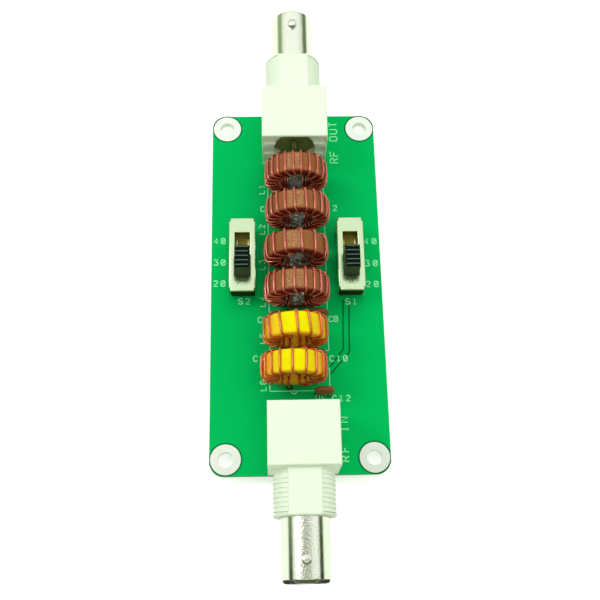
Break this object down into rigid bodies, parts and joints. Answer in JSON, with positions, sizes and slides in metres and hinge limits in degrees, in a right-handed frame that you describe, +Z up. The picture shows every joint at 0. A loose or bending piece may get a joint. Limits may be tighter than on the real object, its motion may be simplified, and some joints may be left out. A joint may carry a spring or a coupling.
{
  "type": "low pass filter module",
  "caption": "Green circuit board with a right-angle bayonet coaxial jack at each end, a row of upright ring coils between them and a three-way slide switch on either side.",
  "frame": {"origin": "centre of the four mounting holes, on the board's underside", "axes": "+Y along the board from the input jack to the output jack, +Z up out of the component side, +X to the right"},
  "size_m": [0.038, 0.1282, 0.0178],
  "materials": {
    "solder_mask": "satin green solder mask",
    "tinned_pad": "bright tin plating",
    "solder": "bright solder",
    "jack_plastic": "semi-gloss white moulding",
    "nickel": "polished nickel plate",
    "insulator": "waxy white",
    "gold_contact": "gold-plated",
    "tinned_tab": "tin-plated",
    "core_red": "red-brown coating",
    "core_yellow": "bright yellow coating",
    "wire_red": "clear red enamel",
    "wire_orange": "clear copper-orange enamel",
    "capacitor_dip": "dipped brown lacquer",
    "tinned_lead": "tin-plated wire",
    "switch_base": "moulded phenolic",
    "switch_cover": "plated sheet",
    "switch_slider": "black moulding",
    "switch_terminal": "silver-plated",
    "switch_wiper": "spring bronze"
  },
  "bodies": {
    "module": {"circuit_board": "solder_mask", "mounting_hole_plating": "tinned_pad", "solder_joints": "solder", "input_jack_housing": "jack_plastic", "input_jack_shell": "nickel", "input_jack_insulator": "insulator", "input_jack_contact": "gold_contact", "input_jack_ground_tab": "tinned_tab", "output_jack_housing": "jack_plastic", "output_jack_shell": "nickel", "output_jack_insulator": "insulator", "output_jack_contact": "gold_contact", "output_jack_ground_tab": "tinned_tab", "coil_1_core": "core_red", "coil_1_winding": "wire_red", "coil_2_core": "core_red", "coil_2_winding": "wire_red", "coil_3_core": "core_red", "coil_3_winding": "wire_red", "coil_4_core": "core_red", "coil_4_winding": "wire_red", "coil_5_core": "core_yellow", "coil_5_winding": "wire_orange", "coil_6_core": "core_yellow", "coil_6_winding": "wire_orange", "capacitor_1": "capacitor_dip", "capacitor_2": "capacitor_dip", "capacitor_3": "capacitor_dip", "capacitor_4": "capacitor_dip", "capacitor_5": "capacitor_dip", "capacitor_6": "capacitor_dip", "capacitor_7": "capacitor_dip", "capacitor_8": "capacitor_dip", "capacitor_9": "capacitor_dip", "capacitor_10": "capacitor_dip", "capacitor_11": "capacitor_dip", "capacitor_12": "capacitor_dip", "capacitor_leads": "tinned_lead", "left_switch_base": "switch_base", "left_switch_cover": "switch_cover", "left_switch_terminals": "switch_terminal", "right_switch_base": "switch_base", "right_switch_cover": "switch_cover", "right_switch_terminals": "switch_terminal"},
    "left_slider": {"left_switch_slider": "switch_slider", "left_switch_wipers": "switch_wiper"},
    "right_slider": {"right_switch_slider": "switch_slider", "right_switch_wipers": "switch_wiper"}
  },
  "joints": [
    {"name": "left_switch_slide", "type": "slide", "parent": "module", "child": "left_slider", "axis": [0, 1, 0], "range_m": [0, 0.00508]},
    {"name": "right_switch_slide", "type": "slide", "parent": "module", "child": "right_slider", "axis": [0, 1, 0], "range_m": [0, 0.00508]}
  ]
}
